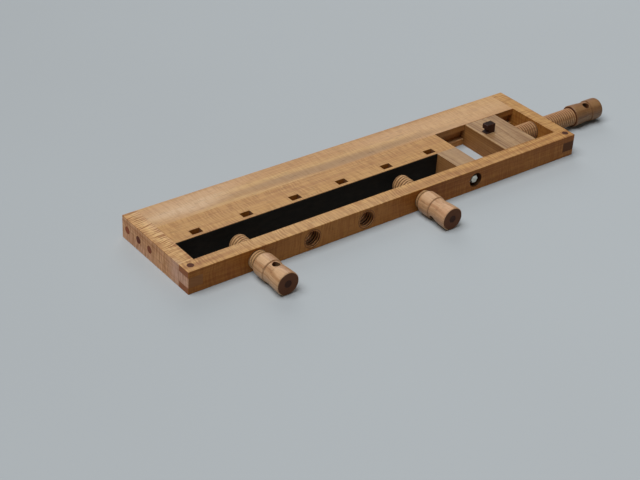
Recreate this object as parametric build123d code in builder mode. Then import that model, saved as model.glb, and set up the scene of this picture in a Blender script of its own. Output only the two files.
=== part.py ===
from build123d import *
from math import cos, radians, sin

# Portable bench-top workbench: a flat wooden frame with a face vise worked by two wooden
# screws and a wagon vise worked by a third.
#
# Frame: the origin is the middle of the underside, +X runs along the bench towards the wagon
# vise, +Y to the back and +Z up. Millimetres.

# ---- driving dimensions ------------------------------------------------------------------------
bench_length = 788.0
bench_width = 188.0
thickness = 39.5
outer_chamfer = 0.4

cap_width = 25.4
rail_width = 25.4
core_width = 58.7
face_gap = 50.8
face_gap_length = 513.7
spacer_length = 41.0

tongue_z = (11.0, 28.5)
end_tongue_depth = 9.0
end_tongue_back_stop = 10.0
wagon_groove_depth = 9.5

dog_hole_length = 19.05
dog_hole_width = 12.7
dog_hole_pitch = 92.5
dog_hole_count = 6
first_dog_hole = 69.6
dog_row = 88.3

lining_thickness = 2.0
lining_inset = 0.7

corner_peg_diameter = 11.1
left_corner_peg_inset = (13.0, 14.5)
right_corner_peg_inset = (10.8, 13.0)
end_peg_diameter = 12.7
end_peg_length = 50.0
left_end_peg_rows = (108.3, 140.5, 172.7)
right_end_peg_rows = (150.5, 172.7)

thread_pitch = 5.08
thread_crest = 15.9
thread_root = 13.7
thread_clearance = 0.4
screw_height = 19.75
wagon_screw_row = 78.15
face_screw_holes = (121.7, 225.0, 330.5, 446.0)
face_thread_length = 69.0
left_hub_stand_off = 13.8
right_hub_stand_off = 7.5
wagon_hub_stand_off = 70.0
left_bar_angle = 0.0
right_bar_angle = 52.0
wagon_bar_angle = 19.0

hub_length = 65.5
hub_end_radius = 19.6
hub_groove_at = 26.0
bar_hole_at = 34.5
bar_hole_diameter = 12.7
shaft_tenon_diameter = 22.0
shaft_tenon_length = 24.0
plug_diameter = 13.0
plug_length = 15.0
plug_clearance = 0.09

block_length = 70.3
block_side_clearance = 0.3
block_gap_to_cap = 43.6
tongue_clearance = 0.25
wagon_dog_from_block_end = 17.2
pivot_diameter = 25.0
pivot_length = 29.0
pivot_clearance = 0.3
garter_at = 20.0
garter_neck_diameter = 19.0
garter_neck_width = 6.6
garter_pin_diameter = 6.0
garter_pin_length = 31.0

dog_clearance = 0.22
dog_head_height = 16.5
dog_notch_depth = 5.5
dog_foot_height = 4.0
catch_height = 22.0
catch_diameter = 6.0
catch_length = 11.0
catch_bore = 4.3
catch_ball_diameter = 4.0
catch_wire = 0.5
catch_spring_length = 5.7
catch_spring_turns = 5

bolt_height = screw_height
bolt_counterbore_diameter = 25.4
bolt_counterbore_depth = 10.0
bolt_diameter = 8.0
bolt_clearance = 0.5
bolt_head_across_flats = 13.0
bolt_head_height = 5.3
washer_diameter = 16.0
washer_thickness = 1.6
barrel_nut_diameter = 14.0
barrel_nut_length = 22.0
barrel_nut_depth = 20.0

# ---- places worked out from them ---------------------------------------------------------------
left = -bench_length / 2
right = bench_length / 2
front = -bench_width / 2
back = bench_width / 2
cap_inner_left = left + cap_width
cap_inner_right = right - cap_width
rail_inner = front + rail_width
strip_front = rail_inner + face_gap
core_front = back - core_width
gap_end = cap_inner_left + face_gap_length
wagon_end = gap_end + spacer_length
dog_y = front + dog_row
tongue_height = tongue_z[1] - tongue_z[0]
screw_y = front + wagon_screw_row
block_right = cap_inner_right - block_gap_to_cap
block_left = block_right - block_length
wagon_dog_x = block_left + wagon_dog_from_block_end
bolt_x = (gap_end + wagon_end) / 2 + 0.9
right_tongue_front = core_front + wagon_groove_depth + 2.5
dog_hole_xs = [left + first_dog_hole + dog_hole_pitch * i for i in range(dog_hole_count)]
left_peg_ys = [front + row for row in left_end_peg_rows]
right_peg_ys = [front + row for row in right_end_peg_rows]
left_corner = (left + left_corner_peg_inset[0], front + left_corner_peg_inset[1], 0)
right_corner = (right - right_corner_peg_inset[0], front + right_corner_peg_inset[1], 0)


# ---- shared shapes -----------------------------------------------------------------------------
def block(x, y, z, mode=Mode.ADD):
    """A box between two corners, in the builder that is open."""
    with BuildSketch(Plane.XY.offset(z[0])) as area:
        with Locations(((x[0] + x[1]) / 2, (y[0] + y[1]) / 2)):
            Rectangle(x[1] - x[0], y[1] - y[0])
    extrude(area.sketch, amount=z[1] - z[0], mode=mode)


def bore(plane, diameter, depth, mode=Mode.SUBTRACT):
    """A cylinder from the plane, along its normal, cut unless the mode says otherwise."""
    with BuildSketch(plane) as area:
        Circle(diameter / 2)
    extrude(area.sketch, amount=depth, mode=mode)


def ring_outline(crest, root, turns):
    """Half the section of a run of thread, as radius and distance: one ring for each turn.

    The rings have the thread's pitch, depth and angle, but no lead.
    """
    crest_flat = 0.36 * thread_pitch
    root_flat = 0.08 * thread_pitch
    flank = (thread_pitch - crest_flat - root_flat) / 2
    points = []
    for turn in range(turns):
        start = turn * thread_pitch
        points += [
            (root, start),
            (root, start + root_flat),
            (crest, start + root_flat + flank),
            (crest, start + root_flat + flank + crest_flat),
        ]
    return points + [(root, turns * thread_pitch)]


def seat_plane(origin, outward, bar):
    """The plane of a screw hub's inner end: its normal points out, its X along the bar hole."""
    return Plane(origin=origin, x_dir=bar, z_dir=outward)


def inward(seat):
    """The same plane turned to face into the bench, where the thread runs."""
    return Plane(origin=seat.origin, x_dir=seat.x_dir, z_dir=-seat.z_dir)


def profile_plane(seat):
    """A plane through the screw's axis, with X out along a radius and Y out along the axis."""
    return Plane(origin=seat.origin, x_dir=seat.x_dir, z_dir=-seat.y_dir)


def turn_about(seat, outline, mode=Mode.ADD):
    """Revolve a closed outline of (radius, distance out) points about the screw's axis."""
    with BuildSketch(profile_plane(seat)) as half_section:
        with BuildLine():
            Polyline(*outline, close=True)
        make_face()
    revolve(half_section.sketch, axis=Axis(seat.origin, seat.z_dir), mode=mode)


def nut_bore(seat, depth):
    """The hole that a screw on this seat turns in, clear of the thread's crest."""
    bore(inward(seat), 2 * (thread_crest + thread_clearance), depth)


def free_threaded_hole(seat):
    """A threaded hole through the front rail, with no screw in it."""
    turns = round(rail_width / thread_pitch)
    crest = thread_crest + thread_clearance
    root = thread_root + thread_clearance
    wall = ring_outline(crest, root, turns)
    outline = [(0, 1), (root, 1)] + [(radius, -run) for radius, run in wall]
    turn_about(seat, outline + [(root, -rail_width - 1), (0, -rail_width - 1)], Mode.SUBTRACT)


def threaded_shaft(seat, length):
    """The threaded stem, chamfered at its tip, with a tenon that is glued into the hub."""
    turns = int(length / thread_pitch)
    thread = [(radius, -run) for radius, run in ring_outline(thread_crest, thread_root, turns)]
    tip = [(thread_root, 1.0 - length), (thread_root - 1.0, -length), (0, -length)]
    with BuildPart() as shaft:
        turn_about(seat, [(0, 0)] + thread + tip)
        bore(seat, shaft_tenon_diameter, shaft_tenon_length, Mode.ADD)
    return shaft


def turned_hub(seat, reverse=False):
    """A turned hub: a barrel collar, a V groove, a waist with the bar hole and a flared end.

    The flared end is the outer one, unless the hub is reversed.
    """

    def at(radius, distance):
        return (radius, hub_length - distance if reverse else distance)

    with BuildPart() as hub:
        with BuildSketch(profile_plane(seat)):
            with BuildLine():
                Polyline(at(0, hub_length), at(0, 0), at(17.2, 0))
                Spline(
                    at(17.2, 0),
                    at(18.6, 1.6),
                    at(19.3, 7.0),
                    at(19.4, 16.0),
                    at(19.2, hub_groove_at - 1.2),
                )
                Polyline(
                    at(19.2, hub_groove_at - 1.2),
                    at(17.0, hub_groove_at),
                    at(18.1, hub_groove_at + 1.0),
                )
                Spline(at(18.1, hub_groove_at + 1.0), at(17.8, bar_hole_at), at(18.3, 41.0))
                Polyline(at(18.3, 41.0), at(18.05, 41.25), at(18.35, 41.5))
                Spline(at(18.35, 41.5), at(19.1, 52.0), at(hub_end_radius, hub_length - 1.2))
                Polyline(
                    at(hub_end_radius, hub_length - 1.2),
                    at(hub_end_radius - 1.2, hub_length),
                    at(0, hub_length),
                )
            make_face()
        revolve(axis=Axis(seat.origin, seat.z_dir))
        bore(seat, shaft_tenon_diameter, shaft_tenon_length)
        bore(inward(seat).offset(-hub_length), plug_diameter, plug_length + 0.5)
        bar_centre = seat.origin + seat.z_dir * at(0, bar_hole_at)[1]
        bar_plane = Plane(origin=bar_centre, x_dir=seat.z_dir, z_dir=seat.x_dir)
        with BuildSketch(bar_plane):
            Circle(bar_hole_diameter / 2)
        extrude(amount=hub_end_radius + 5, both=True, mode=Mode.SUBTRACT)
    return hub


def hub_plug(seat):
    """The round plug in the middle of a hub's end face, free to turn in its hole."""
    with BuildPart() as plug:
        bore(
            inward(seat).offset(-hub_length),
            plug_diameter - 2 * plug_clearance,
            plug_length,
            Mode.ADD,
        )
    return plug


def bolt_axis(y):
    """A plane across the spacer bolt at a given depth into the bench."""
    return Plane(origin=(bolt_x, y, bolt_height), x_dir=(1, 0, 0), z_dir=(0, 1, 0))


def export(part, name):
    part.part.label = name
    export_step(part.part, f"parts/{name}.step")


# The outside of the whole bench, with its arrises broken. Every board is trimmed by it.
with BuildPart() as envelope:
    block((left, right), (front, back), (0, thickness))
    chamfer(envelope.edges(), length=outer_chamfer)

# ---- the three screws' seats -------------------------------------------------------------------
left_screw_x = left + face_screw_holes[0]
right_screw_x = left + face_screw_holes[3]
left_seat = seat_plane(
    (left_screw_x, front - left_hub_stand_off, screw_height),
    (0, -1, 0),
    (sin(radians(left_bar_angle)), 0, cos(radians(left_bar_angle))),
)
right_seat = seat_plane(
    (right_screw_x, front - right_hub_stand_off, screw_height),
    (0, -1, 0),
    (sin(radians(right_bar_angle)), 0, cos(radians(right_bar_angle))),
)
wagon_seat = seat_plane(
    (right + wagon_hub_stand_off, screw_y, screw_height),
    (1, 0, 0),
    (0, -sin(radians(wagon_bar_angle)), cos(radians(wagon_bar_angle))),
)
free_seats = [
    seat_plane((left + hole, front, screw_height), (0, -1, 0), (0, 0, 1))
    for hole in face_screw_holes[1:3]
]

# ---- front rail --------------------------------------------------------------------------------
with BuildPart() as front_rail:
    block((left, right), (front, rail_inner), (0, thickness))
    add(envelope.part, mode=Mode.INTERSECT)
    # Open mortises for the end caps' tenons.
    block((left, cap_inner_left), (front, rail_inner), tongue_z, Mode.SUBTRACT)
    block((cap_inner_right, right), (front, rail_inner), tongue_z, Mode.SUBTRACT)
    # The wagon block's front groove.
    block(
        (wagon_end, cap_inner_right),
        (rail_inner - wagon_groove_depth, rail_inner),
        tongue_z,
        Mode.SUBTRACT,
    )
    for corner in (left_corner, right_corner):
        bore(Plane(origin=corner), corner_peg_diameter, thickness)
    bore(bolt_axis(front), bolt_counterbore_diameter, bolt_counterbore_depth)
    bore(bolt_axis(front), bolt_diameter + bolt_clearance, rail_width)
    nut_bore(left_seat, left_hub_stand_off + rail_width + 1)
    nut_bore(right_seat, right_hub_stand_off + rail_width + 1)
    for seat in free_seats:
        free_threaded_hole(seat)
export(front_rail, "front_rail")


# ---- end caps ----------------------------------------------------------------------------------
def end_cap(outer, inner, groove_front, rows, corner):
    """One end cap: a tenon for the front rail and a stopped groove for the boards' tongues."""
    x = (min(outer, inner), max(outer, inner))
    into = 1 if inner > outer else -1
    groove = sorted((inner, inner - into * end_tongue_depth))
    with BuildPart() as cap:
        block(x, (rail_inner, back), (0, thickness))
        block(x, (front, rail_inner), tongue_z)
        add(envelope.part, mode=Mode.INTERSECT)
        block(groove, (groove_front, back - end_tongue_back_stop), tongue_z, Mode.SUBTRACT)
        for row in rows:
            peg_plane = Plane(
                origin=(outer, row, screw_height), x_dir=(0, 1, 0), z_dir=(into, 0, 0)
            )
            bore(peg_plane, end_peg_diameter, cap_width)
        bore(Plane(origin=corner), corner_peg_diameter, thickness)
    return cap


left_end_cap = end_cap(left, cap_inner_left, strip_front, left_peg_ys, left_corner)
export(left_end_cap, "left_end_cap")

right_cap_blank = end_cap(
    right, cap_inner_right, right_tongue_front, right_peg_ys, right_corner
)
with BuildPart() as right_end_cap:
    add(right_cap_blank.part)
    nut_bore(wagon_seat, wagon_hub_stand_off + cap_width + 1)
export(right_end_cap, "right_end_cap")

# ---- core board and dog-hole strip -------------------------------------------------------------
with BuildPart() as core_board:
    block((cap_inner_left, cap_inner_right), (core_front, back), (0, thickness))
    add(envelope.part, mode=Mode.INTERSECT)
    tongue_back = back - end_tongue_back_stop
    block(
        (cap_inner_left - end_tongue_depth, cap_inner_left),
        (core_front, tongue_back),
        tongue_z,
    )
    block(
        (cap_inner_right, cap_inner_right + end_tongue_depth),
        (right_tongue_front, tongue_back),
        tongue_z,
    )
    # The wagon block's back groove.
    block(
        (wagon_end, cap_inner_right),
        (core_front, core_front + wagon_groove_depth),
        tongue_z,
        Mode.SUBTRACT,
    )
    for outer, into, rows in ((left, 1, left_peg_ys[1:]), (right, -1, right_peg_ys)):
        for row in rows:
            peg_plane = Plane(
                origin=(outer, row, screw_height), x_dir=(0, 1, 0), z_dir=(into, 0, 0)
            )
            bore(peg_plane, end_peg_diameter, end_peg_length)
export(core_board, "core_board")

with BuildPart() as dog_hole_strip:
    block((cap_inner_left, wagon_end), (strip_front, core_front), (0, thickness))
    block(
        (cap_inner_left - end_tongue_depth, cap_inner_left),
        (strip_front, core_front),
        tongue_z,
    )
    with BuildSketch():
        with Locations([(x, dog_y) for x in dog_hole_xs]):
            Rectangle(dog_hole_length, dog_hole_width)
    extrude(amount=thickness, mode=Mode.SUBTRACT)
    peg_plane = Plane(
        origin=(left, left_peg_ys[0], screw_height), x_dir=(0, 1, 0), z_dir=(1, 0, 0)
    )
    bore(peg_plane, end_peg_diameter, end_peg_length)
    # The spacer bolt's hole and the cross hole for its barrel nut, from the underside.
    bore(bolt_axis(strip_front), bolt_diameter + bolt_clearance, barrel_nut_depth + 12)
    nut_top = bolt_height + barrel_nut_length / 2
    bore(
        Plane(origin=(bolt_x, strip_front + barrel_nut_depth, 0)),
        barrel_nut_diameter,
        nut_top,
    )
export(dog_hole_strip, "dog_hole_strip")

with BuildPart() as spacer_block:
    block((gap_end, wagon_end), (rail_inner, strip_front), (0, thickness))
    bore(bolt_axis(rail_inner), bolt_diameter + bolt_clearance, face_gap)
export(spacer_block, "spacer_block")

with BuildPart() as jaw_lining:
    block(
        (cap_inner_left, gap_end),
        (strip_front - lining_thickness, strip_front),
        (lining_inset, thickness - lining_inset),
    )
export(jaw_lining, "jaw_lining")

# ---- pegs --------------------------------------------------------------------------------------
for name, corner in (("left", left_corner), ("right", right_corner)):
    with BuildPart() as corner_peg:
        bore(Plane(origin=corner), corner_peg_diameter, thickness, Mode.ADD)
    export(corner_peg, f"{name}_corner_peg")

end_pegs = (
    ("left_end_peg_front", left, 1, left_peg_ys[0]),
    ("left_end_peg_middle", left, 1, left_peg_ys[1]),
    ("left_end_peg_back", left, 1, left_peg_ys[2]),
    ("right_end_peg_middle", right, -1, right_peg_ys[0]),
    ("right_end_peg_back", right, -1, right_peg_ys[1]),
)
for name, outer, into, row in end_pegs:
    peg_plane = Plane(origin=(outer, row, screw_height), x_dir=(0, 1, 0), z_dir=(into, 0, 0))
    with BuildPart() as end_peg:
        bore(peg_plane, end_peg_diameter, end_peg_length, Mode.ADD)
    export(end_peg, name)

# ---- spacer bolt -------------------------------------------------------------------------------
head_seat = front + bolt_counterbore_depth - washer_thickness
with BuildPart() as spacer_bolt:
    with BuildSketch(bolt_axis(head_seat)):
        RegularPolygon(bolt_head_across_flats / 2, 6, major_radius=False)
    extrude(amount=-bolt_head_height)
    crown = spacer_bolt.faces().sort_by(Axis.Y)[0]
    chamfer(crown.edges(), length=0.6)
    shank = strip_front + barrel_nut_depth + 8 - head_seat
    bore(bolt_axis(head_seat), bolt_diameter, shank, Mode.ADD)
export(spacer_bolt, "spacer_bolt")

with BuildPart() as spacer_washer:
    with BuildSketch(bolt_axis(head_seat)):
        Circle(washer_diameter / 2)
        Circle(bolt_diameter / 2 + 0.2, mode=Mode.SUBTRACT)
    extrude(amount=washer_thickness)
export(spacer_washer, "spacer_washer")

with BuildPart() as spacer_barrel_nut:
    bore(
        Plane(
            origin=(
                bolt_x,
                strip_front + barrel_nut_depth,
                bolt_height - barrel_nut_length / 2,
            )
        ),
        barrel_nut_diameter,
        barrel_nut_length,
        Mode.ADD,
    )
    bore(bolt_axis(strip_front), bolt_diameter, 2 * barrel_nut_depth)
export(spacer_barrel_nut, "spacer_barrel_nut")

# ---- wagon block -------------------------------------------------------------------------------
block_front = rail_inner + block_side_clearance
block_back = core_front - block_side_clearance
tongue_reach = wagon_groove_depth - 0.5
block_tongue_z = (tongue_z[0] + tongue_clearance, tongue_z[1] - tongue_clearance)
pivot_plane = Plane(
    origin=(block_right, screw_y, screw_height), x_dir=(0, 1, 0), z_dir=(-1, 0, 0)
)
garter_x = block_right - garter_at
garter_offset = garter_neck_diameter / 2 + garter_pin_diameter / 2 + 0.2
garter_ys = (screw_y - garter_offset, screw_y + garter_offset)
with BuildPart() as wagon_block:
    block((block_left, block_right), (block_front, block_back), (0.3, thickness))
    upper_edges = wagon_block.faces().sort_by(Axis.Z)[-1].edges()
    chamfer(upper_edges, length=0.5)
    block(
        (block_left, block_right),
        (block_front - tongue_reach, block_back + tongue_reach),
        block_tongue_z,
    )
    with BuildSketch():
        with Locations((wagon_dog_x, dog_y)):
            Rectangle(dog_hole_length, dog_hole_width)
    extrude(amount=thickness, mode=Mode.SUBTRACT)
    bore(pivot_plane, pivot_diameter + 2 * pivot_clearance, pivot_length + 0.8)
    for y in garter_ys:
        bore(Plane(origin=(garter_x, y, 0)), garter_pin_diameter, garter_pin_length + 1)
export(wagon_block, "wagon_block")

for name, y in (("front", garter_ys[0]), ("back", garter_ys[1])):
    with BuildPart() as garter_pin:
        bore(
            Plane(origin=(garter_x, y, 1.0)),
            garter_pin_diameter,
            garter_pin_length,
            Mode.ADD,
        )
    export(garter_pin, f"wagon_garter_pin_{name}")

# ---- screws ------------------------------------------------------------------------------------
wagon_thread_length = right + wagon_hub_stand_off - block_right - 0.5
wagon_stem = threaded_shaft(wagon_seat, wagon_thread_length)
with BuildPart() as wagon_screw_shaft:
    add(wagon_stem.part)
    bore(pivot_plane.offset(-0.6), pivot_diameter, pivot_length + 0.6, Mode.ADD)
    neck_plane = pivot_plane.offset(garter_at - garter_neck_width / 2)
    with BuildSketch(neck_plane):
        Circle(pivot_diameter)
        Circle(garter_neck_diameter / 2, mode=Mode.SUBTRACT)
    extrude(amount=garter_neck_width, mode=Mode.SUBTRACT)
export(wagon_screw_shaft, "wagon_screw_shaft")
export(turned_hub(wagon_seat, reverse=True), "wagon_screw_hub")
export(hub_plug(wagon_seat), "wagon_screw_plug")

export(threaded_shaft(left_seat, face_thread_length), "left_vise_screw_shaft")
export(turned_hub(left_seat), "left_vise_screw_hub")
export(hub_plug(left_seat), "left_vise_screw_plug")

export(threaded_shaft(right_seat, face_thread_length), "right_vise_screw_shaft")
export(turned_hub(right_seat), "right_vise_screw_hub")
export(hub_plug(right_seat), "right_vise_screw_plug")

# ---- bench dog and its catch -------------------------------------------------------------------
dog_half = dog_hole_length / 2 - dog_clearance
dog_width = dog_hole_width - 2 * dog_clearance
dog_plane = Plane(
    origin=(wagon_dog_x, dog_y + dog_width / 2, thickness), x_dir=(1, 0, 0), z_dir=(0, -1, 0)
)
catch_plane = Plane(
    origin=(wagon_dog_x + dog_half, dog_y, catch_height), x_dir=(0, 1, 0), z_dir=(-1, 0, 0)
)
with BuildPart() as bench_dog:
    # The side view: a square shank, a notch cut under the nose and a flat head.
    with BuildSketch(dog_plane):
        with BuildLine():
            Polyline(
                (dog_half, dog_head_height),
                (dog_half, dog_foot_height - thickness),
                (-dog_half, dog_foot_height - thickness),
                (-dog_half, 0.8),
            )
            Spline(
                (-dog_half, 0.8),
                (dog_notch_depth - dog_half, 4.4),
                (1.6 - dog_half, 7.4),
                (-dog_half, 10.2),
                tangents=[(1, 0.35), (0, 1)],
            )
            Polyline((-dog_half, 10.2), (-dog_half, dog_head_height))
            Line((-dog_half, dog_head_height), (dog_half, dog_head_height))
        make_face()
    extrude(amount=dog_width)
    head_edges = bench_dog.faces().sort_by(Axis.Z)[-1].edges()
    nose_edge = head_edges.sort_by(Axis.X)[0]
    fillet(nose_edge, radius=1.8)
    other_edges = bench_dog.faces().sort_by(Axis.Z)[-1].edges().sort_by(Axis.X)[1:]
    chamfer(other_edges, length=0.5)
    foot_edges = bench_dog.faces().sort_by(Axis.Z)[0].edges()
    chamfer(foot_edges, length=1.0)
    bore(catch_plane, catch_diameter, catch_length + 0.3)
export(bench_dog, "bench_dog")

with BuildPart() as dog_catch_barrel:
    bore(catch_plane.offset(0.3), catch_diameter, catch_length, Mode.ADD)
    bore(catch_plane.offset(0.3), catch_bore, catch_length - 1)
export(dog_catch_barrel, "dog_catch_barrel")

ball_depth = 0.3 + catch_ball_diameter / 2
with BuildPart() as dog_catch_ball:
    with Locations(catch_plane.offset(ball_depth)):
        Sphere(catch_ball_diameter / 2)
export(dog_catch_ball, "dog_catch_ball")

# One round wire, carried round its axis as the section is drawn along it.
spring_start = ball_depth + catch_ball_diameter / 2 + 0.1
with BuildSketch() as wire_section:
    with Locations(((catch_bore - catch_wire) / 2 - 0.2, 0)):
        Ellipse(catch_wire / 2, 0.9)
wire_outline = wire_section.sketch.face().outer_wire()
with BuildPart() as dog_catch_spring:
    coil = Solid.extrude_linear_with_rotation(
        wire_outline, (0, 0, 0), (0, 0, catch_spring_length), 360 * catch_spring_turns
    )
    add(coil.moved(catch_plane.offset(spring_start).location))
export(dog_catch_spring, "dog_catch_spring")
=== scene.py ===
import math

import bmesh
import bpy
from mathutils import Matrix, Vector, noise


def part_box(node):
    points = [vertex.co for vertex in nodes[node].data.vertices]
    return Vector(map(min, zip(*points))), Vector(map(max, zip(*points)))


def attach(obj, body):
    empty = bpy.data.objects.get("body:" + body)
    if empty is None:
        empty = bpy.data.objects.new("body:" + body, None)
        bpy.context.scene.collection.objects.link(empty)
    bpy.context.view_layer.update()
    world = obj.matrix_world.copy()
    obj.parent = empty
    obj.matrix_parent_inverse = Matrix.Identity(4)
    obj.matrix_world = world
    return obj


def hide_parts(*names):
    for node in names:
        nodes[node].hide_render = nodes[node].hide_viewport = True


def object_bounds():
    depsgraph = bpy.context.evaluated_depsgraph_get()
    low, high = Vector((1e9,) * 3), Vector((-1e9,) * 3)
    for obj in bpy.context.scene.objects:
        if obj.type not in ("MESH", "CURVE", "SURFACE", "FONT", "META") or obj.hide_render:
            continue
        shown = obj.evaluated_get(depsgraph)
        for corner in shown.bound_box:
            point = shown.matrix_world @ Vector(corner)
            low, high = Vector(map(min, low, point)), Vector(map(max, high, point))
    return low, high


# The looks of a portable bench-top workbench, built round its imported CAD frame. Metres and
# the frame's own axes: +X towards the wagon vise, +Y to the back, +Z up from the underside.

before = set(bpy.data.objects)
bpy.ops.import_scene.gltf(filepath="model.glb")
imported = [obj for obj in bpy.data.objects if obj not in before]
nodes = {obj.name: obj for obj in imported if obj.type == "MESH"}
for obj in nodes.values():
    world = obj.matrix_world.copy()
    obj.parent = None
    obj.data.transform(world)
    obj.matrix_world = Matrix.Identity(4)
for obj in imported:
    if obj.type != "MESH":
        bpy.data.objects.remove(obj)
cad_low, cad_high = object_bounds()

MM = 0.001

# ---- sizes shared with the CAD ---------------------------------------------------------------
THREAD_PITCH = 5.08 * MM
THREAD_CREST = 15.9 * MM
THREAD_ROOT = 13.7 * MM
THREAD_CLEARANCE = 0.4 * MM
THREAD_TIP_CHAMFER = 1.0 * MM
FACE_THREAD_LENGTH = 69.0 * MM
HUB_GROOVE_RADIUS = 17.0 * MM
SCREW_HEIGHT = 19.75 * MM
FREE_HOLE_XS = (-169.0 * MM, -63.5 * MM)
FREE_HOLE_CREST = THREAD_ROOT + THREAD_CLEARANCE
FREE_HOLE_RADIUS = THREAD_CREST + THREAD_CLEARANCE
COUNTERBORE_RADIUS = 12.7 * MM
PIVOT_RADIUS = 12.5 * MM
NECK_RADIUS = 9.5 * MM
NECK_WIDTH = 6.6 * MM
GARTER_AT = 20.0 * MM

# The thread's flats and each of its two flanks, as shares of the pitch.
CREST_FLAT = 0.36
ROOT_FLAT = 0.08
FLANK = (1.0 - ROOT_FLAT - CREST_FLAT) / 2

# ---- sizes of the looks alone ----------------------------------------------------------------
WAGON_THREAD_GAP = 0.5 * MM
PIVOT_LAP = 2.0 * MM
WELD_DISTANCE = 0.002 * MM
GRAIN_DEPTH = 0.12 * MM
BORE_EDGE = 0.2 * MM
HUB_GROOVE_SHADOW = 0.8 * MM


def middle(name):
    """The middle of a node's box."""
    low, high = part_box(name)
    return (low + high) / 2


# ---- colours ---------------------------------------------------------------------------------
def srgb(red, green, blue):
    """A colour given as it looks on a screen, from 0 to 255, as the shader's linear colour."""

    def linear(value):
        value /= 255
        return value / 12.92 if value <= 0.04045 else ((value + 0.055) / 1.055) ** 2.4

    return (linear(red), linear(green), linear(blue), 1.0)


GOLD = srgb(190, 145, 84)
AMBER = srgb(164, 112, 58)
ROSY = srgb(198, 157, 114)
TAN = srgb(180, 130, 66)
SMOKE = srgb(164, 128, 88)
# The next two are patches of painted sheen, on the core's top and on the left cap's side.
CORE_PAINTED_SHEEN = srgb(204, 170, 134)
LEFT_SIDE_PAINTED_SHEEN = srgb(190, 152, 110)
PALE_END = srgb(150, 100, 60)
DARK_END = srgb(98, 60, 34)
RED_END = srgb(148, 92, 60)
# The strip's own end grain tone, darkened partly as painted shade, for it lines the dog holes.
SHADED_STRIP_END = srgb(116, 76, 48)
HUB_END = srgb(102, 62, 38)
THREAD_END = srgb(108, 79, 54)

# The tones of each wooden piece: dark, light, blush and end grain. Each dowel has its own end.
CORE_TONES = (srgb(180, 132, 80), srgb(197, 156, 98), ROSY, RED_END)
STRIP_TONES = (srgb(170, 120, 66), GOLD, TAN, SHADED_STRIP_END)
RAIL_TONES = (srgb(160, 108, 54), srgb(188, 140, 78), srgb(194, 150, 94), RED_END)
LEFT_CAP_TONES = (srgb(174, 122, 68), srgb(199, 156, 98), ROSY, PALE_END)
RIGHT_CAP_TONES = (AMBER, GOLD, TAN, DARK_END)
PALE_HEART_TONES = (srgb(134, 97, 62), srgb(178, 144, 104), srgb(162, 128, 91), DARK_END)
DOG_TONES = (srgb(46, 25, 18), srgb(74, 43, 32), srgb(62, 35, 26), srgb(40, 25, 20))
PLUG_TONES = (srgb(84, 50, 34), srgb(110, 70, 48), srgb(100, 62, 44), srgb(64, 37, 25))
DOWEL_TONES = (srgb(96, 52, 40), srgb(128, 74, 56), srgb(116, 64, 50))

# The face vise's screws run along Y, and the wagon's darker one along X; the wagon hub's darker tones
# are painted shade, for it faces away from the light.
HUB_TONES = {
    "Y": (srgb(174, 128, 88), srgb(210, 170, 129), srgb(210, 158, 125), HUB_END),
    "X": (srgb(122, 83, 50), srgb(148, 111, 72), srgb(143, 101, 66), HUB_END),
}
THREAD_TONES = {
    "Y": (srgb(174, 130, 86), srgb(208, 168, 120), srgb(200, 156, 114), THREAD_END),
    "X": (srgb(156, 110, 70), srgb(190, 148, 104), srgb(182, 134, 96), THREAD_END),
}

# Painted shade: what the colour of a piece's upright faces is multiplied by, as they get less light
# than the tops.
# Painted sheen: the left cap's upright faces are made lighter and bluer instead.
PAINTED_SIDE_SHEEN = (1.12, 1.05, 1.42, 1.0)
PAINTED_SIDE_SHADE = (0.95, 0.72, 0.46, 1.0)
DARKER_PAINTED_SIDE_SHADE = (0.92, 0.72, 0.50, 1.0)
RAIL_PAINTED_SIDE_SHADE = (0.81, 0.58, 0.35, 1.0)
RIGHT_CAP_PAINTED_SIDE_SHADE = (0.95, 0.76, 0.56, 1.0)

# Painted light and shade inside a bore: what its colour is multiplied by, lighter at a thread's crest
# and darker at the wall.
PAINTED_CREST_LIGHT = (1.30, 1.30, 1.60, 1.0)
PAINTED_ROOT_SHADE = (0.22, 0.20, 0.22, 1.0)
PAINTED_WALL_SHADE = (0.22, 0.20, 0.18, 1.0)

# Painted shade at the bottom of a turning's hollows, and on threads a painted highlight at the rim:
# what its colour is multiplied by there.
THREAD_DEPTH_SHADES = (0.30, 1.10)
GROOVE_DEPTH_SHADES = (0.40, 1.0)

# How the curl's crests change red, green and blue.
CURL_TINT = (0.70, 1.0, 1.40)


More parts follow.
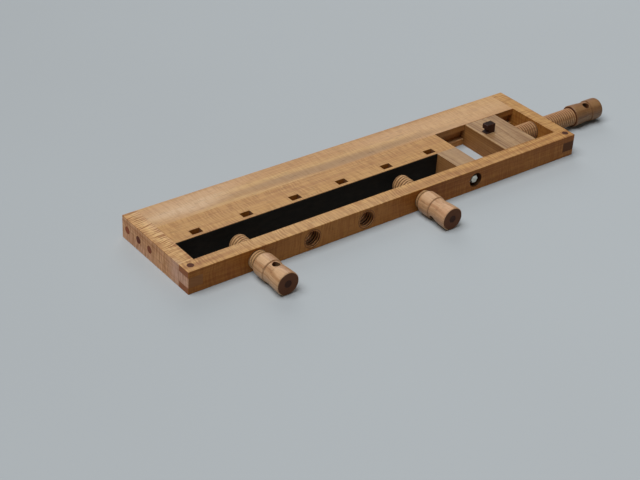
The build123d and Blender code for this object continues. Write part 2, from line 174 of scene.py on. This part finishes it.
# ---- materials -------------------------------------------------------------------------------
class Shader:
    """One material: short calls that add nodes, and inputs that are numbers or other outputs."""

    def __init__(self, name):
        self.material = bpy.data.materials.new(name)
        self.material.use_nodes = True
        self.tree = self.material.node_tree
        self.tree.nodes.clear()

    def add(self, kind, inputs=None, **settings):
        """A new node, with its settings, and its inputs linked or set."""
        node = self.tree.nodes.new("ShaderNode" + kind)
        for key, value in settings.items():
            setattr(node, key, value)
        for key, value in (inputs or {}).items():
            if isinstance(value, bpy.types.NodeSocket):
                self.tree.links.new(value, node.inputs[key])
            else:
                node.inputs[key].default_value = value
        return node

    def place(self):
        """The surface point in the piece's own rest position."""
        return self.add("TexCoord").outputs["Object"]

    def facing(self):
        """The surface normal in the piece's own rest position."""
        return self.add("TexCoord").outputs["Normal"]

    def split(self, vector):
        return self.add("SeparateXYZ", {0: vector}).outputs[:]

    def join(self, x, y, z):
        return self.add("CombineXYZ", {0: x, 1: y, 2: z}).outputs[0]

    def calc(self, operation, a, b=0.0):
        return self.add("Math", {0: a, 1: b}, operation=operation).outputs[0]

    def total(self, start, *shares):
        """The start plus each output times its own weight."""
        for output, weight in shares:
            start = self.calc("ADD", start, self.calc("MULTIPLY", output, weight))
        return start

    def vector(self, operation, a, b=(0.0, 0.0, 0.0)):
        node = self.add("VectorMath", {0: a, 1: b}, operation=operation)
        return node.outputs["Value" if operation == "LENGTH" else "Vector"]

    def scale(self, vector, factor):
        """A vector made longer, or a colour made lighter, by a factor."""
        node = self.add("VectorMath", {0: vector, "Scale": factor}, operation="SCALE")
        return node.outputs["Vector"]

    def from_axis(self, point, axis):
        """The distance from the line through a point that runs along X, Y or Z."""
        across = tuple(0.0 if letter == axis else 1.0 for letter in "XYZ")
        offset = self.vector("SUBTRACT", self.place(), tuple(point))
        return self.vector("LENGTH", self.vector("MULTIPLY", offset, across))

    def span(self, value, low, high, to_low=0.0, to_high=1.0):
        """The value carried smoothly from one span to another, and held at its ends."""
        inputs = {"Value": value, 1: low, 2: high, 3: to_low, 4: to_high}
        return self.add("MapRange", inputs, interpolation_type="SMOOTHSTEP").outputs[0]

    def clouds(self, vector, per_metre, detail=2.0, roughness=0.55, colour=False):
        """Noise with so many waves to the metre along each axis."""
        scaled = self.vector("MULTIPLY", vector, per_metre)
        inputs = {"Vector": scaled, "Scale": 1.0, "Detail": detail, "Roughness": roughness}
        return self.add("TexNoise", inputs).outputs["Color" if colour else "Fac"]

    def layers(self, distance, per_metre):
        """Noise along one distance, as in growth rings."""
        waves = self.calc("MULTIPLY", distance, per_metre)
        inputs = {"W": waves, "Scale": 1.0, "Detail": 3.0, "Roughness": 0.6}
        return self.add("TexNoise", inputs, noise_dimensions="1D").outputs["Fac"]

    def mix(self, factor, a, b, blend="MIX"):
        inputs = {0: factor, 6: a, 7: b}
        return self.add("Mix", inputs, data_type="RGBA", blend_type=blend).outputs[2]

    def bump(self, height, depth, strength):
        inputs = {"Height": height, "Distance": depth, "Strength": strength}
        return self.add("Bump", inputs).outputs["Normal"]

    def finish(self, colour, roughness, normal, **others):
        inputs = {"Base Color": colour, "Roughness": roughness, "Normal": normal}
        for key, value in others.items():
            inputs[key.replace("_", " ")] = value
        surface = self.add("BsdfPrincipled", inputs)
        self.add("OutputMaterial", {"Surface": surface.outputs[0]})
        return self.material


# Waves to the metre of the wood's noises, along the grain and in the two ways across it. The
# noises keep round 0.5, so a span on either side of that turns one into soft patches.
WAVER_WAVES = (2.6, 11.0, 11.0)
FIBRE_WAVES = (7.0, 620.0, 620.0)
STREAK_WAVES = (1.6, 46.0, 46.0)
PATCH_WAVES = (2.2, 9.0, 9.0)
STRIPE_WAVES = (2.5, 170.0, 170.0)
SWERVE_WAVES = (5.0, 20.0, 20.0)
DRIFT_WAVES = (9.0, 26.0, 26.0)
CURL_PATCH_WAVES = (26.0, 36.0, 36.0)
FLECK_WAVES = (60.0, 480.0, 480.0)
PORE_WAVES = (40.0, 900.0, 900.0)
TOOL_MARK_WAVES = (1500.0, 0.0, 0.0)

# How far the growth rings, the stains and patches of painted sheen, and the curl stray from straight
# lines.
RING_WAVER = 22 * MM
STAIN_AND_SHEEN_SWERVE = 30 * MM
CURL_SWAY = 8 * MM


class Wood(Shader):
    """Timber from a log that runs along one axis of the frame."""

    def __init__(self, name, grain, seed):
        super().__init__(name)
        x, y, z = self.split(self.place())
        self.along, self.across, self.height = {"X": (x, y, z), "Y": (y, x, z), "Z": (z, x, y)}[grain]
        part_of_log = (seed, seed * 0.7, seed * 1.3)
        self.log = self.vector("ADD", self.join(self.along, self.across, self.height), part_of_log)
        self.fibre = self.clouds(self.log, FIBRE_WAVES, 3.0)
        self.streak = self.clouds(self.log, STREAK_WAVES, 3.0)

    def growth_rings(self, pith, per_metre):
        """Rings round the pith that waver along the trunk."""
        waver = self.clouds(self.log, WAVER_WAVES, colour=True)
        waver = self.scale(self.vector("SUBTRACT", waver, (0.5, 0.5, 0.5)), RING_WAVER)
        bent = self.vector("ADD", self.join(0.0, self.across, self.height), waver)
        around = self.vector("SUBTRACT", bent, (0.0, pith[0], pith[1]))
        around = self.vector("MULTIPLY", around, (0.0, 1.0, 1.0))
        return self.layers(self.vector("LENGTH", around), per_metre)

    def stained_and_sheened(self, colour, stains_and_sheen):
        """The colour with long patches of other colours, stains or painted sheen, which follow the
        streaks.
        """
        swerve = self.calc("SUBTRACT", self.clouds(self.log, SWERVE_WAVES), 0.5)
        bent = self.total(self.across, (swerve, STAIN_AND_SHEEN_SWERVE))
        held = self.span(self.streak, 0.36, 0.56, 0.4, 1.0)
        for middle_along, half_length, middle_across, half_width, stain_or_sheen in stains_and_sheen:
            run = self.calc("DIVIDE", self.calc("SUBTRACT", self.along, middle_along), half_length)
            width = self.calc("DIVIDE", self.calc("SUBTRACT", bent, middle_across), half_width)
            reach = self.vector("LENGTH", self.join(run, width, 0.0))
            patch_share = self.calc("MULTIPLY", self.span(reach, 1.0, 0.2), held)
            colour = self.mix(patch_share, colour, stain_or_sheen)
        return colour

    def curl(self, ripple):
        """Lines across the grain, dark at -1 and light at 0.6, bent and broken by their own drift."""
        drift = self.calc("SUBTRACT", self.clouds(self.log, DRIFT_WAVES), 0.5)
        turns = self.total(0.0, (self.along, ripple), (drift, 3.5))
        wave = self.calc("SINE", self.calc("MULTIPLY", turns, 2 * math.pi))
        sway = self.join(self.calc("MULTIPLY", drift, CURL_SWAY), 0.0, 0.0)
        swayed = self.vector("ADD", self.log, sway)
        broken = self.calc("SUBTRACT", self.clouds(swayed, (1.6 * ripple, 34.0, 34.0), 2.5), 0.5)
        ridges = self.total(0.0, (wave, 0.30), (broken, 6.0))
        return self.span(ridges, -0.6, 0.5, -1.0, 0.6)

    def bored(self, colour, holes):
        """The colour with painted shade inside the bores from the front, and painted highlight on
        their threads' crests.
        """
        for hole_x, hole_z, crest, wall, crest_shade, wall_shade in holes:
            distance = self.from_axis((hole_x, 0.0, hole_z), "Y")
            inside = self.span(distance, wall + BORE_EDGE, wall)
            shade = self.mix(self.span(distance, crest, wall), crest_shade, wall_shade)
            colour = self.mix(inside, colour, shade, blend="MULTIPLY")
        return colour


def wood(name, grain, tones, pith, rings=240.0, figure=0.0, ripple=250.0, roughness=0.50, seed=0.0,
         contrast=0.14, fleck=0.20, painted_side_light=None, painted_hollow_shade=None, holes=(), stains_and_sheen=(), chatter=0.0,
         turns_round=False):
    """A board or turning sawn from a log that runs along the grain's axis.

    tones        the dark, light, blush and end grain colours
    pith         the heart of the log, in metres across the grain
    rings        growth rings to the metre
    figure       how strong the curl is
    ripple       the curl's ripples to the metre
    seed         which part of the log it is
    contrast     half the span of the growth's noise that runs from dark to light
    fleck        how dark the flecks of the rays and pores are
    painted_side_light  painted shade or sheen: what the colour of a board's upright faces is
    multiplied by painted_hollow_shade  painted shade and highlight in a turning's hollows: a point on
    its axis,
                 the radii of the bottom and rim of its hollows, and the shades there
    holes        bores from the front, with painted shade and highlight: x, z, crest and wall radii, crest and wall shades
    stains_and_sheen  stains and patches of painted sheen: place and half length along the grain,
                 place and half width across, and colour
    chatter      how deep the lathe's tool marks are
    turns_round  whether it turns in use, and so has no upright faces
    """
    dark, light, blush, ends = tones
    s = Wood(name, grain, seed)
    ring = s.growth_rings(pith, rings)
    stripe = s.clouds(s.log, STRIPE_WAVES)
    patch = s.clouds(s.log, PATCH_WAVES)
    tone = s.total(0.0, (ring, 0.35), (s.streak, 0.25), (stripe, 0.25), (s.fibre, 0.15))
    colour = s.mix(s.span(tone, 0.5 - contrast, 0.5 + contrast), dark, light)
    colour = s.mix(s.span(patch, 0.46, 0.68, 0.0, 0.8), colour, blush)
    colour = s.stained_and_sheened(colour, stains_and_sheen)

    # How a surface faces: end grain drinks the finish, and broken arrises get a painted highlight.
    squareness = [s.calc("ABSOLUTE", part) for part in s.split(s.facing())]
    end = s.span(squareness["XYZ".index(grain)], 0.86, 0.97)
    flecks = s.span(s.clouds(s.log, FLECK_WAVES), 0.54, 0.70)
    lightness = s.total(1.0, (flecks, -fleck))
    curl_strength = figure
    dull = end
    if not turns_round:
        upright = s.span(s.split(s.facing())[2], 0.75, 0.10)
        curl_strength = s.span(upright, 0.0, 1.0, figure, 0.6 * figure)
        dull = s.calc("MAXIMUM", end, upright)
        # Painted highlight along the broken arrises.
        steepest = s.calc("MAXIMUM", s.calc("MAXIMUM", squareness[0], squareness[1]), squareness[2])
        lightness = s.calc("ADD", lightness, s.span(steepest, 0.99, 0.80, 0.0, 0.14))

    # The curl comes and goes, and shimmers between gold and brown.
    where = s.span(s.clouds(s.log, CURL_PATCH_WAVES, 1.5), 0.34, 0.58, 0.45, 1.0)
    shown = s.calc("MULTIPLY", where, curl_strength)
    shimmer = s.scale(CURL_TINT, s.calc("MULTIPLY", s.curl(ripple), shown))
    colour = s.vector("MULTIPLY", colour, s.vector("ADD", shimmer, (1.0, 1.0, 1.0)))
    # Painted shade, or on the left cap painted sheen, on the upright faces.
    if painted_side_light:
        colour = s.mix(upright, colour, painted_side_light, blend="MULTIPLY")
    colour = s.scale(colour, lightness)
    # Painted shade at the bottom of a turning's hollows, and painted highlight at the rim of its
    # threads.
    if painted_hollow_shade:
        point, bottom, rim, bottom_shade, rim_shade = painted_hollow_shade
        radius = s.from_axis(point, grain)
        colour = s.scale(colour, s.span(radius, bottom, rim, bottom_shade, rim_shade))

    pores = s.clouds(s.log, PORE_WAVES)
    drunk = s.total(0.66, (ring, 0.40), (pores, 0.28))
    colour = s.mix(end, colour, s.scale(ends[:3], drunk))
    colour = s.bored(colour, holes)

    texture = s.total(s.fibre, (flecks, -0.8), (ring, 0.5))
    if chatter:
        tool_marks = s.clouds(s.join(s.along, 0.0, 0.0), TOOL_MARK_WAVES, 1.0)
        texture = s.total(texture, (tool_marks, chatter))
    rough = s.total(roughness - 0.08, (s.streak, 0.16), (end, 0.20))
    shiny = s.span(dull, 0.0, 1.0, 0.45, 0.18)
    return s.finish(colour, rough, s.bump(texture, GRAIN_DEPTH, 0.5), Specular_IOR_Level=shiny)


def metal(name, colour, dull, roughness):
    """Plated or plain metal, with faint scratches and duller patches."""
    s = Shader(name)
    marks = s.clouds(s.place(), (300.0, 300.0, 300.0), 4.0, 0.65)
    clouded = s.clouds(s.place(), (90.0, 90.0, 90.0), 3.0)
    shade = s.mix(s.span(clouded, 0.42, 0.66), colour, dull)
    rough = s.total(roughness, (marks, 0.2))
    return s.finish(shade, rough, s.bump(marks, 0.03 * MM, 0.4), Metallic=1.0)


def suede(name, colour, worn):
    """Split leather with a short brushed nap."""
    s = Shader(name)
    nap = s.clouds(s.place(), (900.0, 900.0, 900.0), 4.0, 0.7)
    brushed = s.clouds(s.place(), (45.0, 45.0, 130.0), 3.0)
    shade = s.mix(s.span(brushed, 0.40, 0.66), colour, worn)
    shade = s.scale(shade, s.total(0.7, (nap, 0.6)))
    rough = s.total(0.82, (nap, 0.16))
    return s.finish(shade, rough, s.bump(nap, 0.25 * MM, 0.8), Specular_IOR_Level=0.3)


def studio_paper(name, colour, shadow):
    """Faintly mottled paper, with painted shade that darkens it towards the back."""
    s = Shader(name)
    mottle = s.clouds(s.place(), (1.2, 1.2, 1.2))
    grit = s.clouds(s.place(), (350.0, 350.0, 350.0))
    depth = s.split(s.place())[1]
    shade = s.scale(s.mix(mottle, shadow, colour), s.span(depth, -1.0, 2.4, 1.08, 0.80))
    rough = s.total(0.86, (grit, 0.08))
    return s.finish(shade, rough, s.bump(grit, 0.05 * MM, 0.1), Specular_IOR_Level=0.25)


# ---- wood of each piece ----------------------------------------------------------------------
bolt_place = middle("spacer_bolt")
# Painted shade and highlight inside the rail's threaded holes, and painted shade in the bolt's
# counterbore.
rail_holes = [
    (hole_x, SCREW_HEIGHT, FREE_HOLE_CREST, FREE_HOLE_RADIUS, PAINTED_CREST_LIGHT, PAINTED_ROOT_SHADE)
    for hole_x in FREE_HOLE_XS
]
rail_holes.append((bolt_place.x, bolt_place.z, 0.0, COUNTERBORE_RADIUS, PAINTED_WALL_SHADE, PAINTED_WALL_SHADE))

# The core's stains, and near its left end a pale patch of painted sheen.
core_stains_and_sheen = (
    (-0.02, 0.36, 0.046, 0.018, SMOKE),
    (-0.30, 0.13, 0.066, 0.036, CORE_PAINTED_SHEEN),
    (0.0, 0.50, 0.098, 0.020, AMBER),
)
# A paler patch of painted sheen at the front of the left cap's outer face.
left_cap_sheen = ((-0.070, 0.040, -0.394, 0.010, LEFT_SIDE_PAINTED_SHEEN),)

# Golden brown cherry, each board from its own part of the log, and a dark bench dog.
materials = {
    "core_board": wood("cherry_core", "X", CORE_TONES, (0.02, -0.09), rings=200.0, figure=0.11,
                       ripple=210.0, seed=0.11, contrast=0.11, painted_side_light=PAINTED_SIDE_SHADE, stains_and_sheen=core_stains_and_sheen),
    "dog_hole_strip": wood("cherry_strip", "X", STRIP_TONES, (-0.03, 0.11), rings=260.0,
                           figure=0.20, ripple=200.0, seed=0.53, painted_side_light=PAINTED_SIDE_SHADE),
    "front_rail": wood("cherry_rail", "X", RAIL_TONES, (-0.06, 0.09), rings=260.0, figure=0.30,
                       ripple=190.0, seed=0.87, contrast=0.11, painted_side_light=RAIL_PAINTED_SIDE_SHADE, holes=rail_holes),
    "left_end_cap": wood("cherry_left_cap", "Y", LEFT_CAP_TONES, (-0.42, -0.08), rings=230.0,
                         figure=0.60, ripple=235.0, seed=1.31, painted_side_light=PAINTED_SIDE_SHEEN,
                         stains_and_sheen=left_cap_sheen),
    "right_end_cap": wood("cherry_right_cap", "Y", RIGHT_CAP_TONES, (0.41, 0.12), rings=230.0,
                          figure=0.34, ripple=200.0, seed=1.77, painted_side_light=RIGHT_CAP_PAINTED_SIDE_SHADE),
    "spacer_block": wood("cherry_spacer", "Y", PALE_HEART_TONES, (0.165, -0.05), rings=420.0,
                         figure=0.08, contrast=0.08, seed=2.09, painted_side_light=DARKER_PAINTED_SIDE_SHADE),
    "wagon_block": wood("cherry_wagon", "Y", PALE_HEART_TONES, (0.31, -0.03), rings=620.0,
                        figure=0.12, contrast=0.12, seed=2.43, painted_side_light=PAINTED_SIDE_SHADE),
    "bench_dog": wood("dark_dog", "Z", DOG_TONES, (0.29, 0.03), rings=420.0, roughness=0.55, seed=8.2),
}


def screw_material(part, grain, point):
    """The shaft, the hub and the plug of one screw, whose axis goes through the point."""
    across = point.x if grain == "Y" else point.y
    pith = (across + 0.10, point.z - 0.22)
    seed = 3.0 + abs(point.x) * 2
    if part == "shaft":
        painted_hollow_shade = (point, THREAD_ROOT, THREAD_CREST) + THREAD_DEPTH_SHADES
        return wood("screw_thread_" + grain, grain, THREAD_TONES[grain], pith, rings=260.0,
                    figure=0.05, seed=seed, painted_hollow_shade=painted_hollow_shade, turns_round=True)
    if part == "hub":
        groove_rim = HUB_GROOVE_RADIUS + HUB_GROOVE_SHADOW
        painted_hollow_shade = (point, HUB_GROOVE_RADIUS, groove_rim) + GROOVE_DEPTH_SHADES
        return wood("screw_hub_" + grain, grain, HUB_TONES[grain], pith, rings=260.0, figure=0.05,
                    roughness=0.44, seed=seed, contrast=0.10, fleck=0.30, painted_hollow_shade=painted_hollow_shade, chatter=0.5,
                    turns_round=True)
    return wood("screw_plug_" + grain, grain, PLUG_TONES, pith, rings=500.0, seed=seed,
                turns_round=True)


def dowel(name, grain, point, ends, seed):
    """A dark dowel, of which only the end grain shows."""
    across, height = (point.y, point.z) if grain == "X" else (point.x, point.y)
    pith = (across + 2 * MM, height - 1 * MM)
    return wood(name, grain, DOWEL_TONES + (ends,), pith, rings=900.0, seed=seed)


dowels = (
    ("left_end_peg_front", "X", srgb(128, 68, 46)),
    ("left_end_peg_middle", "X", srgb(100, 50, 34)),
    ("left_end_peg_back", "X", srgb(142, 76, 50)),
    ("right_end_peg_middle", "X", srgb(134, 74, 56)),
    ("right_end_peg_back", "X", srgb(128, 68, 52)),
    ("left_corner_peg", "Z", srgb(84, 48, 34)),
    ("right_corner_peg", "Z", srgb(78, 45, 32)),
    ("wagon_garter_pin_front", "Z", srgb(134, 92, 62)),
    ("wagon_garter_pin_back", "Z", srgb(134, 92, 62)),
)
for index, (name, grain, ends) in enumerate(dowels):
    materials[name] = dowel(name + "_dowel", grain, middle(name), ends, 4.0 + 0.3 * index)

for side, grain in (("left_vise", "Y"), ("right_vise", "Y"), ("wagon", "X")):
    point = middle(side + "_screw_hub")
    for part in ("shaft", "hub", "plug"):
        materials[f"{side}_screw_{part}"] = screw_material(part, grain, point)

# ---- metal of each piece ---------------------------------------------------------------------
zinc = metal("zinc_plate", srgb(240, 238, 226), srgb(206, 204, 192), 0.34)
steel = metal("spring_steel", srgb(176, 178, 182), srgb(120, 120, 124), 0.22)
brass = metal("catch_brass", srgb(214, 172, 96), srgb(160, 118, 60), 0.28)
for name in ("spacer_bolt", "spacer_washer", "spacer_barrel_nut"):
    materials[name] = zinc
for name in ("dog_catch_spring", "dog_catch_ball"):
    materials[name] = steel
materials["dog_catch_barrel"] = brass

for name, material in materials.items():
    nodes[name].data.materials.clear()
    nodes[name].data.materials.append(material)


# ---- meshes ----------------------------------------------------------------------------------
def mesh_object(name, mesh, material):
    """A new piece in the scene, made from a finished bmesh."""
    mesh.normal_update()
    data = bpy.data.meshes.new(name)
    mesh.to_mesh(data)
    mesh.free()
    piece = bpy.data.objects.new(name, data)
    bpy.context.scene.collection.objects.link(piece)
    data.materials.append(material)
    return piece


def smooth_by_angle(piece, degrees):
    """Smooth shading that leaves an edge crisp if it is sharper than the angle."""
    piece.data.shade_smooth()
    mesh = bmesh.new()
    mesh.from_mesh(piece.data)
    limit = math.radians(degrees)
    for edge in mesh.edges:
        if len(edge.link_faces) == 2:
            edge.smooth = edge.calc_face_angle() < limit
    mesh.to_mesh(piece.data)
    mesh.free()


# ---- screw threads ---------------------------------------------------------------------------
# A screw's own axes have Z from its hub, at 0, towards its tip.
def screw_frame(seat, inward):
    """The transform from a screw's own axes to the frame's."""
    turn = Vector((0, 0, 1)).rotation_difference(inward).to_matrix().to_4x4()
    return Matrix.Translation(seat) @ turn


def thread_radius(turn):
    """The thread's radius at a share of a turn along its axis: root, flank, crest, flank."""
    turn %= 1.0
    rise = min(max((turn - ROOT_FLAT) / FLANK, 0.0), 1.0)
    fall = min(max((turn - ROOT_FLAT - FLANK - CREST_FLAT) / FLANK, 0.0), 1.0)
    return THREAD_ROOT + (THREAD_CREST - THREAD_ROOT) * (rise - fall)


def helical_thread(mesh, to_frame, length, steps=72):
    """A closed right-handed thread, as rows of faces that follow the helix."""
    breaks = (0.0, ROOT_FLAT, ROOT_FLAT + FLANK / 2, ROOT_FLAT + FLANK,
              ROOT_FLAT + FLANK + CREST_FLAT, ROOT_FLAT + 1.5 * FLANK + CREST_FLAT)
    turns = math.ceil(length / THREAD_PITCH) + 2
    rows = [turn + part for turn in range(-1, turns) for part in breaks]
    tip_radius = THREAD_ROOT - THREAD_TIP_CHAMFER

    def vertex(row, step):
        angle = 2 * math.pi * step / steps
        distance = (rows[row] + step / steps) * THREAD_PITCH
        distance = min(max(distance, 0.0), length)
        radius = thread_radius(distance / THREAD_PITCH - step / steps)
        radius = min(radius, tip_radius + (length - distance))
        local = Vector((radius * math.cos(angle), radius * math.sin(angle), distance))
        return mesh.verts.new(to_frame @ local)

    grid = [[vertex(row, step) for step in range(steps)] for row in range(len(rows))]
    for row in range(len(rows) - 1):
        for step in range(steps):
            # A full turn on, a row carries on as the one that starts a pitch further along.
            next_row, next_step = (row, step + 1) if step + 1 < steps else (row + len(breaks), 0)
            if next_row + 1 >= len(rows):
                continue
            mesh.faces.new((
                grid[row][step],
                grid[next_row][next_step],
                grid[next_row + 1][next_step],
                grid[row + 1][step],
            ))
    bmesh.ops.remove_doubles(mesh, verts=mesh.verts[:], dist=WELD_DISTANCE)
    bmesh.ops.dissolve_degenerate(mesh, edges=mesh.edges[:], dist=WELD_DISTANCE)
    rims = [edge for edge in mesh.edges if edge.is_boundary]
    bmesh.ops.holes_fill(mesh, edges=rims, sides=0)
    bmesh.ops.recalc_face_normals(mesh, faces=mesh.faces[:])


def turned(mesh, to_frame, outline, steps=64):
    """A closed turning from (radius, distance) points that start and end on the axis."""
    angles = [2 * math.pi * step / steps for step in range(steps)]
    rings = []
    for radius, distance in outline:
        around = angles if radius else [0.0]
        rings.append([
            mesh.verts.new(to_frame @ Vector((radius * math.cos(a), radius * math.sin(a), distance)))
            for a in around
        ])
    for near, far in zip(rings, rings[1:]):
        for step in range(steps):
            after = (step + 1) % steps
            corners = [near[step % len(near)], near[after % len(near)],
                       far[after % len(far)], far[step % len(far)]]
            mesh.faces.new(list(dict.fromkeys(corners)))
    bmesh.ops.recalc_face_normals(mesh, faces=mesh.faces[:])


def threaded_piece(side, body, seat, inward, length, pivot=None):
    """A screw's shaft, with the outline of a plain pivot on its tip if it has one."""
    mesh = bmesh.new()
    to_frame = screw_frame(seat, inward)
    helical_thread(mesh, to_frame, length)
    if pivot:
        turned(mesh, to_frame, pivot)
    piece = mesh_object(f"{side}_helical_thread", mesh, materials[f"{side}_screw_shaft"])
    smooth_by_angle(piece, 35)
    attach(piece, body)
    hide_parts(f"{side}_screw_shaft")


def face_vise_thread(side):
    """The thread starts where the hub ends, and points to the back."""
    low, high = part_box(f"{side}_screw_hub")
    centre = (low + high) / 2
    seat = Vector((centre.x, high.y, centre.z))
    threaded_piece(side, f"{side}_screw", seat, Vector((0, 1, 0)), FACE_THREAD_LENGTH)


def wagon_thread():
    """The thread stops at the wagon block, which holds a plain pivot with a necked groove."""
    hub_low, hub_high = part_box("wagon_screw_hub")
    centre = (hub_low + hub_high) / 2
    seat = Vector((hub_low.x, centre.y, centre.z))
    block_at = hub_low.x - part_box("wagon_block")[1].x
    thread_length = block_at - WAGON_THREAD_GAP
    pivot_start = thread_length - PIVOT_LAP
    pivot_end = hub_low.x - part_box("wagon_screw_shaft")[0].x
    neck_start = block_at + GARTER_AT - NECK_WIDTH / 2
    neck_end = block_at + GARTER_AT + NECK_WIDTH / 2
    pivot = (
        (0, pivot_start),
        (PIVOT_RADIUS, pivot_start),
        (PIVOT_RADIUS, neck_start),
        (NECK_RADIUS, neck_start),
        (NECK_RADIUS, neck_end),
        (PIVOT_RADIUS, neck_end),
        (PIVOT_RADIUS, pivot_end),
        (0, pivot_end),
    )
    threaded_piece("wagon", "wagon_screw", seat, Vector((-1, 0, 0)), thread_length, pivot)


face_vise_thread("left_vise")
face_vise_thread("right_vise")
wagon_thread()


# ---- jaw lining ------------------------------------------------------------------------------
def suede_strip():
    """The vise jaw's lining: a flat hide, its face a little uneven and its edges rolled."""
    low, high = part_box("jaw_lining")
    columns, rows = 240, 20
    edge_roll = 0.5 * MM
    half_swell = 0.16 * MM
    waves_along, waves_up, noise_slice = 60, 90, 3.7
    mesh = bmesh.new()

    def vertex(column, row, back):
        u, v = column / columns, row / rows
        x = low.x + (high.x - low.x) * u
        z = low.z + (high.z - low.z) * v
        if back:
            return mesh.verts.new((x, high.y, z))
        edge = min(v, 1 - v) * rows
        rolled = edge_roll * max(0.0, 1 - edge) ** 2
        in_noise = Vector((x * waves_along, z * waves_up, noise_slice))
        swell = half_swell * (1 + noise.noise(in_noise))
        return mesh.verts.new((x, low.y + rolled + swell, z))

    front = [[vertex(c, r, False) for r in range(rows + 1)] for c in range(columns + 1)]
    rear = [[vertex(c, r, True) for r in range(rows + 1)] for c in range(columns + 1)]
    for c in range(columns):
        for r in range(rows):
            mesh.faces.new((front[c][r], front[c + 1][r], front[c + 1][r + 1], front[c][r + 1]))
            mesh.faces.new((rear[c][r], rear[c][r + 1], rear[c + 1][r + 1], rear[c + 1][r]))
    for c in range(columns):
        for r in (0, rows):
            mesh.faces.new((front[c][r], front[c + 1][r], rear[c + 1][r], rear[c][r]))
    for r in range(rows):
        for c in (0, columns):
            mesh.faces.new((front[c][r], front[c][r + 1], rear[c][r + 1], rear[c][r]))
    bmesh.ops.recalc_face_normals(mesh, faces=mesh.faces[:])
    black_suede = suede("black_suede", srgb(18, 16, 10), srgb(27, 23, 15))
    piece = mesh_object("suede_jaw_lining", mesh, black_suede)
    smooth_by_angle(piece, 50)
    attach(piece, "bench")
    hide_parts("jaw_lining")


suede_strip()

# ---- floor -----------------------------------------------------------------------------------
FLOOR_HALF_WIDTH = 12.0

floor_mesh = bmesh.new()
bmesh.ops.create_grid(floor_mesh, x_segments=8, y_segments=8, size=FLOOR_HALF_WIDTH)
paper = studio_paper("studio_paper", srgb(179, 186, 190), srgb(175, 181, 185))
floor = mesh_object("studio_floor", floor_mesh, paper)

# ---- light -----------------------------------------------------------------------------------
WARM_WHITE = (1.0, 0.88, 0.72)
SKY_DIRECTION = Vector((1.7, -0.2, -4.9))
SKY_STRENGTH = 2.5
SKY_SPREAD = 46
ROOM_COLOUR = (1.0, 0.98, 0.95, 1.0)
ROOM_STRENGTH = 0.06


def light(name, kind, power, place, aim):
    """A light of the given kind that shines along the aim."""
    lamp = bpy.data.lights.new(name, kind)
    lamp.energy = power
    holder = bpy.data.objects.new(name, lamp)
    bpy.context.scene.collection.objects.link(holder)
    holder.location = place
    holder.rotation_euler = aim.to_track_quat("-Z", "Y").to_euler()
    return holder


def soft_box(name, place, size, power, colour=(1.0, 1.0, 1.0)):
    """A large square soft light that looks at the bench and isn't itself in the picture."""
    bench_middle = (cad_low + cad_high) / 2
    holder = light(name, "AREA", power, place, bench_middle - Vector(place))
    holder.visible_camera = False
    holder.data.shape = "SQUARE"
    holder.data.size = size
    holder.data.color = colour


soft_box("sheen", (1.4, 2.6, 1.9), size=2.4, power=29.0)
soft_box("fill", (0.6, -3.4, 1.6), size=2.4, power=4.0, colour=WARM_WHITE)

# The key is a wide overcast sky light, so the floor is lit evenly far behind the bench.
overcast = light("key", "SUN", SKY_STRENGTH, (0.0, 0.0, 0.0), SKY_DIRECTION)
overcast.data.angle = math.radians(SKY_SPREAD)

world = bpy.data.worlds.new("studio")
world.use_nodes = True
background = world.node_tree.nodes["Background"]
background.inputs["Color"].default_value = ROOM_COLOUR
background.inputs["Strength"].default_value = ROOM_STRENGTH
bpy.context.scene.world = world
bpy.context.scene.view_settings.view_transform = "Standard"

# ---- camera ----------------------------------------------------------------------------------
CAMERA_PLACE = (-1.3294, -1.5724, 1.2170)
CAMERA_AZIMUTH = -38.47
CAMERA_ELEVATION = 32.53
CAMERA_ROLL = 3.14
CAMERA_LENS = 81.82
CAMERA_SENSOR = 36.0


def camera_turn(azimuth, elevation, roll):
    """The camera's axes: it stands at the azimuth and elevation, seen from the bench."""
    back = Vector((
        math.sin(azimuth) * math.cos(elevation),
        -math.cos(azimuth) * math.cos(elevation),
        math.sin(elevation),
    ))
    level = Vector((math.cos(azimuth), math.sin(azimuth), 0))
    upright = back.cross(level)
    right = level * math.cos(roll) + upright * math.sin(roll)
    up = upright * math.cos(roll) - level * math.sin(roll)
    return Matrix((right, up, back)).transposed().to_4x4()


camera_data = bpy.data.cameras.new("camera")
camera_data.lens = CAMERA_LENS
camera_data.sensor_width = CAMERA_SENSOR
camera_data.clip_end = 100.0
camera = bpy.data.objects.new("camera", camera_data)
bpy.context.scene.collection.objects.link(camera)
camera_angles = [math.radians(angle) for angle in (CAMERA_AZIMUTH, CAMERA_ELEVATION, CAMERA_ROLL)]
camera.matrix_world = Matrix.Translation(CAMERA_PLACE) @ camera_turn(*camera_angles)
bpy.context.scene.camera = camera
